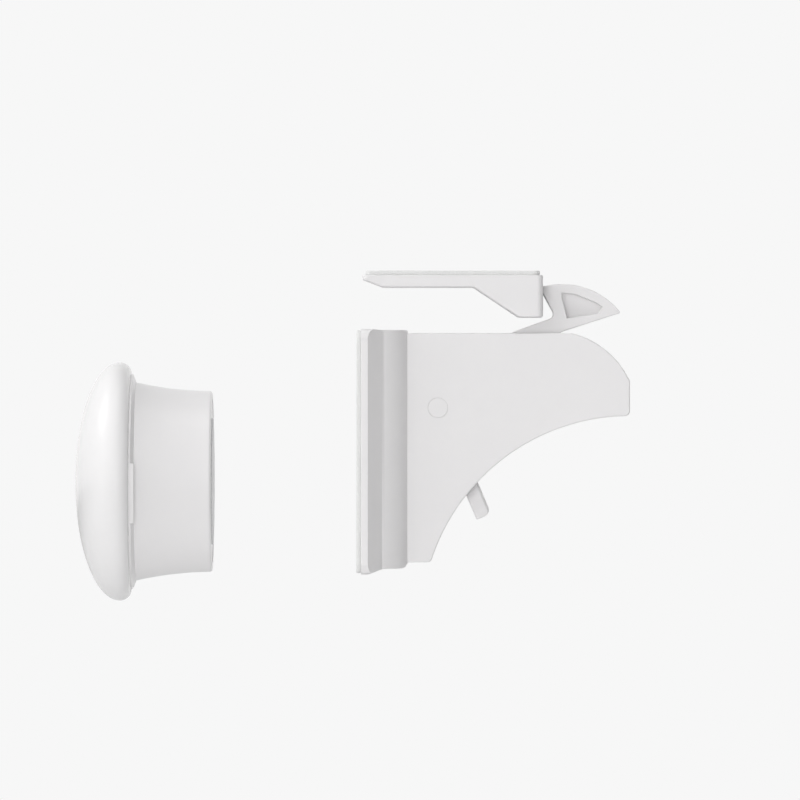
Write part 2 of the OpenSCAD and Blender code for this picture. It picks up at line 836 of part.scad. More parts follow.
module key_body() {
    color(white)
    at_key()
    difference() {
        union() {
            rotate_extrude() body_section();
            // Lugs that bridge the collar on both sides
            intersection() {
                difference() {
                    translate([0, 0, neck_u])
                        cylinder(r = collar_r, h = collar_h);
                    translate([0, 0, neck_u - over])
                        cylinder(r = neck_r - tube_wall, h = collar_h + 2 * over);
                }
                rotate(-lug_deg)
                    translate([-lug_w / 2, -dome_r, neck_u])
                        cube([lug_w, dome_d, collar_h]);
            }
        }
        at_key_screws()
            translate([0, 0, partition_u - over])
                cylinder(r = key_screw_r + slip, h = partition_t + 2 * over);
    }
}

module key_magnet() {
    color(nickel)
    at_key()
        translate([0, 0, magnet_at_u])
            cylinder(r = key_magnet_d / 2, h = key_magnet_t);
}

module key_pole_cup() {
    color(steel)
    at_key()
        translate([0, 0, magnet_at_u])
            difference() {
                cylinder(r = pole_r, h = key_magnet_t + pole_base);
                translate([0, 0, -over])
                    cylinder(r = key_magnet_d / 2 + fit, h = key_magnet_t + over);
            }
}

module key_magnet_holder() {
    ear_u = partition_u - holder_floor;
    color(white)
    at_key()
    difference() {
        union() {
            translate([0, 0, magnet_at_u])
                cylinder(r = holder_r, h = partition_u - magnet_at_u);
            at_key_screws()
                translate([0, 0, ear_u]) {
                    cylinder(r = ear_r, h = holder_floor);
                    translate([-key_screw_at / 2, -ear_web_w / 2, 0])
                        cube([key_screw_at / 2, ear_web_w, holder_floor]);
                }
        }
        translate([0, 0, magnet_at_u - over])
            cylinder(r = pole_r + fit, h = key_magnet_t + pole_base + over);
        at_key_screws()
            translate([0, 0, ear_u - over])
                cylinder(r = key_screw_r + slip, h = holder_floor + 2 * over);
    }
}

module key_end_plate() {
    color(white)
    at_key()
        difference() {
            translate([0, 0, end_plate_inset])
                cylinder(r = tube_r - tube_wall - fit, h = end_plate_t);
            translate([0, 0, end_plate_inset - over])
                cylinder(r = face_pad_r + slip, h = face_pad_t - end_plate_inset + over);
        }
}

module key_face_pad() {
    color(foam)
    at_key()
        cylinder(r = face_pad_r, h = face_pad_t);
}

module key_screws() {
    color(steel)
    at_key()
        at_key_screws()
            translate([0, 0, partition_u - holder_floor]) {
                cylinder(r = key_screw_r, h = key_screw_len);
                translate([0, 0, -key_screw_head_t])
                    cylinder(r = key_screw_head_r, h = key_screw_head_t);
            }
}

lock_adhesive_pad();
base_plate();
housing();
housing_screws();
pivot_pin();
pin_caps();
return_spring();
latch_arm();
latch_magnet();
magnet_cover();
catch_adhesive_pad();
catch_body();
key_cap();
key_body();
key_magnet();
key_pole_cup();
key_magnet_holder();
key_end_plate();
key_face_pad();
key_screws();
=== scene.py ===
# %% [markdown]
# # A magnetic cabinet safety lock
# The lock is a set of three white mouldings. A housing on the door's inner face holds a sprung hook, a
# catch sits under the cabinet's top, and a round key is held against the door from outside, where its
# magnet pulls the hook down. This lesson dresses the measured model of that set: the frame gives every
# piece its place, and each step below makes a surface or a piece as a modeller would by hand.

# %% Load the frame
import json
import math
import bmesh
import bpy
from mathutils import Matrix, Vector


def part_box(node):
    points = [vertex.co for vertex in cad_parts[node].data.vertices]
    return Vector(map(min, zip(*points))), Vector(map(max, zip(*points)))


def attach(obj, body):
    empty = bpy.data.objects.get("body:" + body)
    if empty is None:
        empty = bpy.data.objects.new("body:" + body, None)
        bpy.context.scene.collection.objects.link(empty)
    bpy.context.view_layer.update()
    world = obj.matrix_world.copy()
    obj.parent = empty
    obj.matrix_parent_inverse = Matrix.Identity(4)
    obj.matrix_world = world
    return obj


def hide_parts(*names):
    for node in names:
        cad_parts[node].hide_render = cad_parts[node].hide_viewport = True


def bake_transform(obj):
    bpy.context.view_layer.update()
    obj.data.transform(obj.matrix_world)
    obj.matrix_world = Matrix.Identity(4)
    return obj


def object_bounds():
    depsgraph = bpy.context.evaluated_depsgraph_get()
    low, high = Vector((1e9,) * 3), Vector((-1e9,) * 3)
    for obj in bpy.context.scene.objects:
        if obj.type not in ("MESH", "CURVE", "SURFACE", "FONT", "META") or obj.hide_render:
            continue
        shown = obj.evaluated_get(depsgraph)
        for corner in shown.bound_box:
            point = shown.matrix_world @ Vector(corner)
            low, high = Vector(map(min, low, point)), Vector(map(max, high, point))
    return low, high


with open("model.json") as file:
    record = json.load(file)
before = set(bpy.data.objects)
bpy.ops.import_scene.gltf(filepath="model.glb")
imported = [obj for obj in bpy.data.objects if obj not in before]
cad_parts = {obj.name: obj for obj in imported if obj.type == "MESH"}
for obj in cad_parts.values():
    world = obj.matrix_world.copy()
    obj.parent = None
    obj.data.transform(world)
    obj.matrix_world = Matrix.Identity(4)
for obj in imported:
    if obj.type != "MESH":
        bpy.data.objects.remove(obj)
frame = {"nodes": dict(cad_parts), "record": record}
cad_low, cad_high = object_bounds()
MM = 0.001
print("CAD box in mm:", [round(v / MM, 2) for v in (*cad_low, *cad_high)])

# %% [markdown]
# ## The camera
# The set is seen level and square to its side, from far away through a long lens, so that parallel edges
# stay parallel. The camera comes first, because every later choice is judged through it.

# %% The camera
VIEW_WIDTH = 184.1 * MM      # how much of the middle plane the picture shows
VIEW_MIDDLE = Vector((9.94, 0, 11.79)) * MM
CAMERA_DISTANCE = 2000 * MM

bpy.ops.object.camera_add(location=VIEW_MIDDLE + Vector((0, -CAMERA_DISTANCE, 0)),
                          rotation=(math.radians(90), 0, 0))
camera = bpy.context.object
camera.name = "camera"
camera.data.lens = camera.data.sensor_width * CAMERA_DISTANCE / VIEW_WIDTH
bpy.context.scene.camera = camera
bpy.context.scene.view_settings.view_transform = "Standard"
print("lens in mm:", round(camera.data.lens, 1))

# %% [markdown]
# ## Light and surroundings
# White plastic shows its form only by small steps of grey. Most of the light comes from a sky that is
# strong on the left and weak on the right, as beside a large window, and from a lamp beside the camera,
# because light from where one looks casts no shadow that one sees. A top lamp lifts the upper faces, one at
# the upper left gives the polished dome its highlight, and one at the back keeps the far side from going
# dark. The backdrop is white only for camera rays and reflections, so it adds no light to the object.

# %% The sky
BACKDROP = 0.93              # how pale the surroundings look
SKY = 0.12                   # how strongly they light the object from every side
SKY_LEFT = 1.25              # and how much more straight from the left


def calculate(nodes, links, operation, first, second):
    """One step of arithmetic on two sockets."""
    node = nodes.new("ShaderNodeMath")
    node.operation = operation
    links.new(first, node.inputs[0])
    links.new(second, node.inputs[1])
    return node.outputs[0]


world = bpy.data.worlds.new("surroundings")
bpy.context.scene.world = world
world.use_nodes = True
nodes, links = world.node_tree.nodes, world.node_tree.links
path = nodes.new("ShaderNodeLightPath")
seen = calculate(nodes, links, "MAXIMUM", path.outputs["Is Camera Ray"], path.outputs["Is Glossy Ray"])
seen_through = calculate(nodes, links, "MAXIMUM", seen, path.outputs["Is Transmission Ray"])
way_out = nodes.new("ShaderNodeTexCoord")
leftward = nodes.new("ShaderNodeVectorMath")
leftward.operation = "DOT_PRODUCT"
leftward.inputs[1].default_value = (-1, 0, 0)
links.new(way_out.outputs["Generated"], leftward.inputs[0])
strength = nodes.new("ShaderNodeMapRange")
strength.inputs["To Min"].default_value = SKY
strength.inputs["To Max"].default_value = SKY + SKY_LEFT
links.new(leftward.outputs["Value"], strength.inputs["Value"])
tone = nodes.new("ShaderNodeMix")
tone.data_type = "RGBA"
links.new(strength.outputs["Result"], tone.inputs["A"])
tone.inputs["B"].default_value = (BACKDROP, BACKDROP, BACKDROP, 1)
links.new(seen_through, tone.inputs["Factor"])
links.new(tone.outputs["Result"], nodes["Background"].inputs["Color"])

# %% The lamps
LAMP_DISTANCE = 1.6          # metres from the middle of the set
LAMP_SIZE = 0.8              # side of each square lamp
LAMPS = {                    # way to the lamp, its light on a face that looks at it, and if it reflects
    "front_lamp": ((-0.10, -1.0, -0.04), 0.71, False),
    "top_lamp": ((-0.10, -0.10, 1.0), 0.36, False),
    "highlight_lamp": ((-0.80, 0.20, 0.56), 0.10, True),
    "back_lamp": ((0.45, 1.0, 0.20), 0.50, False),
}

for name, (way, share, reflects) in LAMPS.items():
    way = Vector(way).normalized()
    bpy.ops.object.light_add(type="AREA", location=VIEW_MIDDLE + way * LAMP_DISTANCE)
    lamp = bpy.context.object
    lamp.name = name
    lamp.rotation_euler = way.to_track_quat("Z", "Y").to_euler()
    lamp.data.shape = "SQUARE"
    lamp.data.size = LAMP_SIZE
    # A lamp's light at its distance is its power over pi times the distance squared, and a white face
    # that gets pi renders as it is written
    lamp.data.energy = share * math.pi ** 2 * LAMP_DISTANCE ** 2
    lamp.visible_glossy = reflects
    print(name, "power in W:", round(lamp.data.energy, 1))

# %% [markdown]
# ## The floor
# The set is fixed well above the ground, so the floor lies some way below it. Near the object it is a
# plain matt surface that takes the shadow. Further out it fades into the tone of the backdrop, so that no
# horizon crosses a picture. From below it is clear, so that the underside can be looked at too.

# %% The floor
FLOOR_DROP = 90 * MM         # how far the floor lies below the object
FLOOR_SIZE = 8
SHADOW_REACH = 0.22          # the matt part reaches this far
FADE_REACH = 0.42            # and has faded out here

bpy.ops.mesh.primitive_plane_add(size=FLOOR_SIZE,
                                 location=(VIEW_MIDDLE.x, 0, cad_low.z - FLOOR_DROP))
floor = bpy.context.object
floor.name = "floor"

paper = bpy.data.materials.new("floor_paper")
paper.use_nodes = True
nodes, links = paper.node_tree.nodes, paper.node_tree.links
matt = nodes["Principled BSDF"]
matt.inputs["Base Color"].default_value = (0.80, 0.80, 0.80, 1)
matt.inputs["Roughness"].default_value = 0.9
matt.inputs["Specular IOR Level"].default_value = 0.1
backdrop = nodes.new("ShaderNodeEmission")
backdrop.inputs["Color"].default_value = (BACKDROP, BACKDROP, BACKDROP, 1)
place = nodes.new("ShaderNodeTexCoord")
reach = nodes.new("ShaderNodeVectorMath")
reach.operation = "LENGTH"
links.new(place.outputs["Object"], reach.inputs[0])
fade = nodes.new("ShaderNodeMapRange")
fade.interpolation_type = "SMOOTHSTEP"
fade.inputs["From Min"].default_value = SHADOW_REACH
fade.inputs["From Max"].default_value = FADE_REACH
links.new(reach.outputs["Value"], fade.inputs["Value"])
path = nodes.new("ShaderNodeLightPath")
far_and_seen = calculate(nodes, links, "MULTIPLY", fade.outputs["Result"], path.outputs["Is Camera Ray"])
blend = nodes.new("ShaderNodeMixShader")
links.new(far_and_seen, blend.inputs["Fac"])
links.new(matt.outputs["BSDF"], blend.inputs[1])
links.new(backdrop.outputs["Emission"], blend.inputs[2])
side = nodes.new("ShaderNodeNewGeometry")
clear = nodes.new("ShaderNodeBsdfTransparent")
from_below = nodes.new("ShaderNodeMixShader")
links.new(side.outputs["Backfacing"], from_below.inputs["Fac"])
links.new(blend.outputs["Shader"], from_below.inputs[1])
links.new(clear.outputs["BSDF"], from_below.inputs[2])
links.new(from_below.outputs["Shader"], nodes["Material Output"].inputs["Surface"])
floor.data.materials.append(paper)

# %% [markdown]
# ## Surface effects that several materials share
# A moulding has three things that a flat colour lacks: the fine spark-eroded grain of the mould, broad
# faint waves where the plastic shrank over ribs and bosses, and a slightly uneven sheen. They are put in
# one node group, so each plastic only says how strong each of them is. A second group draws the fine
# rings and scratches of turned or drawn metal, and a third the cells of foam tape, with painted shade
# that darkens their hollows.

# %% The group for moulded plastic
NOISE_LOW, NOISE_HIGH = 0.25, 0.75      # nearly all of a noise texture lies between these


def surface_group(name, values, results):
    """A node group that takes a position and named values, and gives named results."""
    group = bpy.data.node_groups.new(name, "ShaderNodeTree")
    group.interface.new_socket(name="Position", in_out="INPUT", socket_type="NodeSocketVector")
    for title, value in values.items():
        socket = group.interface.new_socket(name=title, in_out="INPUT", socket_type="NodeSocketFloat")
        socket.default_value = value
    for title in results:
        group.interface.new_socket(name=title, in_out="OUTPUT", socket_type="NodeSocketFloat")
    given = group.nodes.new("NodeGroupInput")
    result = group.nodes.new("NodeGroupOutput")
    return group, given.outputs, result.inputs


def noise(nodes, links, position, scale, detail=2.0, roughness=0.5):
    """A noise texture on a position, with its scale in waves per metre."""
    node = nodes.new("ShaderNodeTexNoise")
    node.inputs["Scale"].default_value = scale
    node.inputs["Detail"].default_value = detail
    node.inputs["Roughness"].default_value = roughness
    links.new(position, node.inputs["Vector"])
    return node.outputs["Fac"]


def between(nodes, links, value, low, high):
    """Takes a noise to the range between two sockets."""
    node = nodes.new("ShaderNodeMapRange")
    node.inputs["From Min"].default_value = NOISE_LOW
    node.inputs["From Max"].default_value = NOISE_HIGH
    links.new(value, node.inputs["Value"])
    links.new(low, node.inputs["To Min"])
    links.new(high, node.inputs["To Max"])
    return node.outputs["Result"]


GRAIN_SCALE = 2600           # grains per metre along an axis
WAVE_SCALE = 60              # waves per metre
SHEEN_SCALE = 5 * WAVE_SCALE

moulding, given, result = surface_group(
    "moulded_surface", {"Grain depth": 0.004 * MM, "Wave depth": 0.02 * MM, "Dull": 0.5, "Bright": 0.4},
    ["Height", "Roughness", "Tint"])
nodes, links = moulding.nodes, moulding.links
grain = noise(nodes, links, given["Position"], GRAIN_SCALE, detail=3.0, roughness=0.7)
wave = noise(nodes, links, given["Position"], WAVE_SCALE, detail=1.0)
sheen = noise(nodes, links, given["Position"], SHEEN_SCALE, detail=4.0, roughness=0.6)
grain_height = calculate(nodes, links, "MULTIPLY", grain, given["Grain depth"])
wave_height = calculate(nodes, links, "MULTIPLY", wave, given["Wave depth"])
links.new(calculate(nodes, links, "ADD", grain_height, wave_height), result["Height"])
links.new(between(nodes, links, sheen, given["Bright"], given["Dull"]), result["Roughness"])
links.new(calculate(nodes, links, "MULTIPLY", sheen, wave), result["Tint"])

# %% The groups for metal and foam
LINE_SCALE = 4200            # tool marks per metre
LINE_STRETCH = 0.06          # Z counts this much, so the marks run along Z
STAIN_SCALE = 300

turning, given, result = surface_group(
    "tool_marks", {"Depth": 0.002 * MM, "Dull": 0.4, "Bright": 0.25}, ["Height", "Roughness", "Tint"])
nodes, links = turning.nodes, turning.links
stretch = nodes.new("ShaderNodeVectorMath")
stretch.operation = "MULTIPLY"
stretch.inputs[1].default_value = (1, 1, LINE_STRETCH)
links.new(given["Position"], stretch.inputs[0])
marks = noise(nodes, links, stretch.outputs[0], LINE_SCALE)
links.new(calculate(nodes, links, "MULTIPLY", marks, given["Depth"]), result["Height"])
links.new(between(nodes, links, marks, given["Bright"], given["Dull"]), result["Roughness"])
links.new(noise(nodes, links, given["Position"], STAIN_SCALE, detail=5.0, roughness=0.65), result["Tint"])

CELL_SCALE = 2400            # foam cells per metre

foam_cells, given, result = surface_group("foam_cells", {"Depth": 0.06 * MM}, ["Height", "Hollow"])
nodes, links = foam_cells.nodes, foam_cells.links
cells = nodes.new("ShaderNodeTexVoronoi")
cells.inputs["Scale"].default_value = CELL_SCALE
links.new(given["Position"], cells.inputs["Vector"])
links.new(calculate(nodes, links, "MULTIPLY", cells.outputs["Distance"], given["Depth"]), result["Height"])
# This output is painted shade: the colour follows the cells' depth, so their hollows are darker.
links.new(cells.outputs["Distance"], result["Hollow"])
print("shader groups:", [g.name for g in bpy.data.node_groups])

# %% [markdown]
# ## The materials
# Each material is a Principled shader. The group's tint drives a narrow ramp between two close colours,
# its roughness goes to the shader's own, and its height to a bump. Both plastics are the same white, but
# the lock and the tube are satin from a grained mould, while the key's dome is polished.

# %% Materials of one build
RAMP_START, RAMP_END = 0.1, 0.6


def surface(name, group, light, dark, settings, values=()):
    """A material whose colour, roughness and relief come from one of the groups."""
    material = bpy.data.materials.new(name)
    material.use_nodes = True
    nodes, links = material.node_tree.nodes, material.node_tree.links
    shader = nodes["Principled BSDF"]
    for socket, value in settings.items():
        shader.inputs[socket].default_value = value
    position = nodes.new("ShaderNodeTexCoord")
    effect = nodes.new("ShaderNodeGroup")
    effect.node_tree = group
    links.new(position.outputs["Object"], effect.inputs["Position"])
    for socket, value in values:
        effect.inputs[socket].default_value = value
    ramp = nodes.new("ShaderNodeValToRGB")
    ramp.color_ramp.elements[0].color = (*dark, 1)
    ramp.color_ramp.elements[1].color = (*light, 1)
    ramp.color_ramp.elements[0].position = RAMP_START
    ramp.color_ramp.elements[1].position = RAMP_END
    # For foam and felt the ramp follows the cells' depth instead: painted shade, darker where the cells lie
    # deepest.
    links.new(effect.outputs["Tint" if "Tint" in effect.outputs else "Hollow"], ramp.inputs["Fac"])
    links.new(ramp.outputs["Color"], shader.inputs["Base Color"])
    if "Roughness" in effect.outputs:
        links.new(effect.outputs["Roughness"], shader.inputs["Roughness"])
    bump = nodes.new("ShaderNodeBump")
    bump.inputs["Distance"].default_value = 1
    links.new(effect.outputs["Height"], bump.inputs["Height"])
    links.new(bump.outputs["Normal"], shader.inputs["Normal"])
    return material


satin = surface("satin_white_plastic", moulding, (0.815, 0.805, 0.808), (0.795, 0.785, 0.790),
                {"IOR": 1.49}, [("Bright", 0.28), ("Dull", 0.38)])
gloss = surface("polished_white_plastic", moulding, (0.820, 0.813, 0.815), (0.805, 0.797, 0.800),
                {"IOR": 1.50, "Coat Weight": 0.12, "Coat Roughness": 0.10},
                [("Bright", 0.19), ("Dull", 0.25), ("Grain depth", 0.0006 * MM),
                 ("Wave depth", 0.008 * MM)])
# The two colours of foam and felt are painted shade: the darker one lies where the cells are deepest.
foam = surface("foam_tape", foam_cells, (0.75, 0.75, 0.745), (0.79, 0.79, 0.785),
               {"Roughness": 0.85, "Specular IOR Level": 0.25}, [("Depth", -0.01 * MM)])
felt = surface("pale_felt", foam_cells, (0.72, 0.72, 0.73), (0.62, 0.62, 0.63),
               {"Roughness": 0.95, "Sheen Weight": 0.4, "Specular IOR Level": 0.1},
               [("Depth", 0.09 * MM)])
steel = surface("drawn_steel", turning, (0.60, 0.61, 0.63), (0.48, 0.49, 0.51),
                {"Metallic": 1.0}, [("Bright", 0.22), ("Dull", 0.36)])
zinc = surface("bright_zinc", turning, (0.66, 0.67, 0.68), (0.52, 0.53, 0.56),
               {"Metallic": 1.0}, [("Bright", 0.28), ("Dull", 0.45)])
wire = surface("spring_wire", turning, (0.50, 0.50, 0.51), (0.38, 0.38, 0.40),
               {"Metallic": 1.0}, [("Bright", 0.20), ("Dull", 0.34)])
nickel = surface("nickel_plate", turning, (0.66, 0.63, 0.58), (0.58, 0.55, 0.50),
                 {"Metallic": 1.0}, [("Bright", 0.12), ("Dull", 0.20), ("Depth", 0.0005 * MM)])

FINISHES = {"satin_plastic": satin, "gloss_plastic": gloss, "foam_tape": foam, "felt": felt,
            "steel": steel, "zinc_screw": zinc, "spring_wire": wire, "nickel": nickel}

# %% Every node of the frame takes the finish of its slot
SLOTS = {part["node"]: part["material_slot"] for part in frame["record"]["subparts"]}


def dress(piece, slot):
    """Gives a piece the material of a slot, and no other."""
    piece.data.materials.clear()
    piece.data.materials.append(FINISHES[slot])


for node, item in frame["nodes"].items():
    dress(item, SLOTS[node])
print("dressed nodes:", len(SLOTS))

# %% [markdown]
# ## The modeller's hands
# A few moves come back in every step: picking vertices, edges or faces by where they are, drawing half a
# section point by point, and turning it about an axis. Each of them is an ordinary edit-mode operator,
# wrapped so that it starts with nothing selected.

# %% Picking, drawing and turning
MERGE = 0.003 * MM           # vertices of a turned or swept shape that are closer than this are one
SHARP_ANGLE = 28             # degrees between two faces from which an edge is sharp
SMOOTH_ANGLE = 40            # degrees up to which the shading runs on over an edge
FORWARD = 0.9                # a normal's part along +X from which a face looks forward


def pick(piece, kind, test):
    """Opens a piece in edit mode with only the elements selected that pass a test, and counts them."""
    if bpy.context.mode != "OBJECT":
        bpy.ops.object.mode_set(mode="OBJECT")
    bpy.ops.object.select_all(action="DESELECT")
    piece.select_set(True)
    bpy.context.view_layer.objects.active = piece
    bpy.ops.object.mode_set(mode="EDIT")
    bpy.ops.mesh.select_mode(type=kind)
    bpy.ops.mesh.select_all(action="DESELECT")
    mesh = bmesh.from_edit_mesh(piece.data)
    elements = {"VERT": mesh.verts, "EDGE": mesh.edges, "FACE": mesh.faces}[kind]
    chosen = [e for e in elements if test(e)]
    for element in chosen:
        element.select_set(True)
    mesh.select_flush_mode()
    bmesh.update_edit_mesh(piece.data)
    return len(chosen)


def everything(element):
    return True


def looks_forward(face):
    """True for a face that looks along +X."""
    return face.normal.x > FORWARD


def named(piece, name):
    """Names a piece and its mesh alike."""
    piece.name = piece.data.name = name
    return piece


def draw_line(name, points):
    """Draws a line through points: a small plane shrinks to one vertex, which is then extruded from point
    to point."""
    bpy.ops.object.select_all(action="DESELECT")
    bpy.ops.mesh.primitive_plane_add(size=MM, location=(0, 0, 0))
    piece = named(bpy.context.object, name)
    bpy.ops.object.mode_set(mode="EDIT")
    bpy.ops.mesh.select_mode(type="VERT")
    bpy.ops.mesh.select_all(action="SELECT")
    bpy.ops.mesh.merge(type="CENTER")
    bpy.ops.mesh.select_all(action="SELECT")
    bpy.ops.transform.translate(value=points[0])
    for start, end in zip(points, points[1:]):
        bpy.ops.mesh.extrude_region_move(
            TRANSFORM_OT_translate={"value": Vector(end) - Vector(start)})
    bpy.ops.object.mode_set(mode="OBJECT")
    return piece


def draw_section(name, points):
    """Draws an outline in the plane y = 0 through points (x, z)."""
    return draw_line(name, [(x, 0, z) for x, z in points])


def turn_round(piece, axis_z, steps):
    """Spins a section about an axis along X at height axis_z, and closes it where its ends meet."""
    pick(piece, "VERT", everything)
    bpy.ops.mesh.spin(steps=steps, angle=math.tau, center=(0, 0, axis_z), axis=(1, 0, 0),
                      use_auto_merge=True)
    bpy.ops.mesh.select_all(action="SELECT")
    bpy.ops.mesh.remove_doubles(threshold=MERGE)
    bpy.ops.mesh.normals_make_consistent(inside=False)
    bpy.ops.object.mode_set(mode="OBJECT")
    print(piece.name, "turned faces:", len(piece.data.polygons))


def sharp(edge, degrees=SHARP_ANGLE):
    """True for an edge where two faces meet at more than so many degrees."""
    return len(edge.link_faces) == 2 and edge.calc_face_angle() > math.radians(degrees)


def roomy_rim(room):
    """A test for a sharp outward edge whose faces are both wide enough beside it for a round."""
    def test(edge):
        return (sharp(edge) and edge.is_convex
                and all(face.calc_area() > room * edge.calc_length() for face in edge.link_faces))
    return test


def round_off(piece, test, radius, segments=3, clamp=True):
    """Rounds the edges of a piece that pass a test. With clamp, one short edge narrows every round, so a
    piece with fine details picks its edges by roomy_rim and goes without."""
    count = pick(piece, "EDGE", test)
    if count:
        bpy.ops.mesh.bevel(offset=radius, offset_type="OFFSET", segments=segments, profile=0.5,
                           affect="EDGES", clamp_overlap=clamp, miter_outer="SHARP")
    bpy.ops.object.mode_set(mode="OBJECT")
    return count


def shade(piece):
    """Shades a piece smooth over rounds and flat on faces, with the weighted normals that keep large
    faces even."""
    bpy.ops.object.select_all(action="DESELECT")
    piece.select_set(True)
    bpy.context.view_layer.objects.active = piece
    bpy.ops.object.shade_smooth_by_angle(angle=math.radians(SMOOTH_ANGLE))
    even = piece.modifiers.new("even_faces", "WEIGHTED_NORMAL")
    even.keep_sharp = True
    even.weight = 100
    bpy.ops.object.modifier_apply(modifier=even.name)


def complete(piece, body, slot, *replaced):
    """Shades, dresses and seats a finished piece."""
    shade(piece)
    dress(piece, slot)
    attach(piece, body)
    if replaced:
        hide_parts(*replaced)
    print(piece.name, "faces:", len(piece.data.polygons))
    return piece


# %% [markdown]
# ## The key's dome
# The key ends in a glossy dome that fills the palm. Its section is a flat quarter ellipse that runs over a
# full rim and draws in again behind it, and the dome is hollow from behind. A turned shape like this is
# drawn once as half a section and spun about the key's axis. Its seam with the tube is drawn a little
# closer to the rim than the model has it, as the photograph shows it.

# %% The dome
cap_low, cap_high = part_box("key_cap")
KEY_AXIS = (cap_low.z + cap_high.z) / 2
SEAM_X = cap_high.x          # where the model's dome sits on the tube's collar
SEAM_DRAW = 0.85 * MM        # the photograph's seam lies this much closer to the rim
DOME_RADIUS = (cap_high.z - cap_low.z) / 2
RIM_BACK = 3.5 * MM          # from the widest place back to the seat
RIM_IN = 2.3 * MM            # how far the dome draws in behind its rim
DOME_WALL = 2.2 * MM
SPIGOT_RADIUS = 23.69 * MM
TURN_STEPS = 144
OUTER_STEPS, INNER_STEPS = 48, 32
RIM_STEP = 6                 # degrees between two points behind the rim

COLLAR_X = SEAM_X - SEAM_DRAW
rim_x = SEAM_X - RIM_BACK
dome_height = rim_x - cap_low.x


def arc(centre, across, along, start, end, steps):
    """Points of an ellipse in (x, z), from one angle to another, in degrees from the Z axis."""
    return [(centre[0] - along * math.sin(math.radians(start + (end - start) * i / steps)),
             centre[1] + across * math.cos(math.radians(start + (end - start) * i / steps)))
            for i in range(steps + 1)]


outside = arc((rim_x, KEY_AXIS), DOME_RADIUS, dome_height, 90, 0, OUTER_STEPS)
behind = [(rim_x + (COLLAR_X - rim_x) * math.sin(math.radians(t)),
           KEY_AXIS + DOME_RADIUS - RIM_IN * (1 - math.cos(math.radians(t))))
          for t in range(RIM_STEP, 90 + RIM_STEP, RIM_STEP)]
inner_radius = DOME_RADIUS - DOME_WALL
mouth_angle = math.degrees(math.acos(SPIGOT_RADIUS / inner_radius))
inside = arc((rim_x, KEY_AXIS), inner_radius, dome_height - DOME_WALL, mouth_angle, 90, INNER_STEPS)
dome = draw_section("key_dome", outside + behind + [(COLLAR_X, KEY_AXIS + SPIGOT_RADIUS)] + inside)
turn_round(dome, KEY_AXIS, TURN_STEPS)

# %% Bosses for the screws, and the finished dome
SCREW_CIRCLE = 16.4 * MM
BOSS_RADIUS = 3 * MM
BOSS_BORE = 1.42 * MM
BORE_DEPTH = 6 * MM
KEY_SCREWS = 3
OVERRUN = 1 * MM             # a cutting tool reaches this far past what it cuts
STATION_SLACK, RADIUS_SLACK = 0.02 * MM, 0.03 * MM


def around_key(index):
    """The place (y, z) of one of the key's three screws. The first lies above the axis."""
    turn = math.radians(360 / KEY_SCREWS * index)
    return SCREW_CIRCLE * math.sin(turn), KEY_AXIS + SCREW_CIRCLE * math.cos(turn)


def rod(name, x, y, z, radius, length, vertices=48):
    """A cylinder along X that starts at x and runs towards +X."""
    bpy.ops.object.select_all(action="DESELECT")
    bpy.ops.mesh.primitive_cylinder_add(vertices=vertices, radius=radius, depth=length,
                                        location=(x + length / 2, y, z),
                                        rotation=(0, math.radians(90), 0))
    piece = named(bpy.context.object, name)
    bpy.ops.object.transform_apply(location=True, rotation=True, scale=True)
    return piece


def combine(piece, tool, operation):
    """Adds a tool's solid to a piece, or cuts it away, and deletes the tool."""
    bpy.ops.object.select_all(action="DESELECT")
    piece.select_set(True)
    bpy.context.view_layer.objects.active = piece
    step = piece.modifiers.new("boolean", "BOOLEAN")
    step.operation = operation
    step.solver = "EXACT"
    step.object = tool
    bpy.ops.object.modifier_apply(modifier=step.name)
    bpy.data.meshes.remove(tool.data)


boss_reach = dome_height * math.sqrt(1 - ((SCREW_CIRCLE + BOSS_RADIUS) / DOME_RADIUS) ** 2)
boss_top = rim_x - boss_reach + DOME_WALL / 2
for index in range(KEY_SCREWS):
    y, z = around_key(index)
    combine(dome, rod("boss", boss_top, y, z, BOSS_RADIUS, SEAM_X - boss_top), "UNION")
for index in range(KEY_SCREWS):
    y, z = around_key(index)
    combine(dome, rod("bore", SEAM_X - BORE_DEPTH, y, z, BOSS_BORE, BORE_DEPTH + OVERRUN), "DIFFERENCE")


def at_station(edge, x, radius):
    """True for an edge of a turned piece that lies round its axis, at x and a radius."""
    return all(abs(v.co.x - x) < STATION_SLACK
               and abs(math.hypot(v.co.y, v.co.z - KEY_AXIS) - radius) < RADIUS_SLACK
               for v in edge.verts)


complete(dome, "key", "gloss_plastic", "key_cap")

# %% [markdown]
# ## The key's tube
# Below the dome a tube flares towards a narrow collar. The flare is an arc of a large circle, the mouth has
# a small bevel that reads as a dark line in the side view, and a thin straight land catches the light where
# the collar meets the dome. The partition and the spigot that centres the dome are part of the same turn.

# %% The tube
tube_low, tube_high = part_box("key_body")
pad_low, pad_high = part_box("key_face_pad")
FACE_X = pad_high.x          # the key's own face, from which its flare is measured
TUBE_RADIUS = 20.8 * MM
TUBE_WALL = 1.8 * MM
FLARE_RADIUS = 80 * MM
MOUTH_BEVEL = 0.4 * MM
COLLAR_HEIGHT = 1.2 * MM
COLLAR_LAND = 0.45 * MM
COLLAR_RADIUS = (tube_high.y - tube_low.y) / 2
SPIGOT_WALL = 1.6 * MM
PARTITION = 2 * MM
SCREW_HOLE = 1.55 * MM
LIP_ROUND = 0.1 * MM         # round of the mouth's two inner edges
BEVEL_ROUND = 0.15 * MM      # and of the bevel's outer edge
FLARE_CENTRE = TUBE_RADIUS + FLARE_RADIUS


def flare(x, deeper=0.0):
    """Radius of the tube's outer face at x, or of a face that lies deeper in the wall."""
    return FLARE_CENTRE - math.sqrt((FLARE_RADIUS + deeper) ** 2 - (FACE_X - x) ** 2)


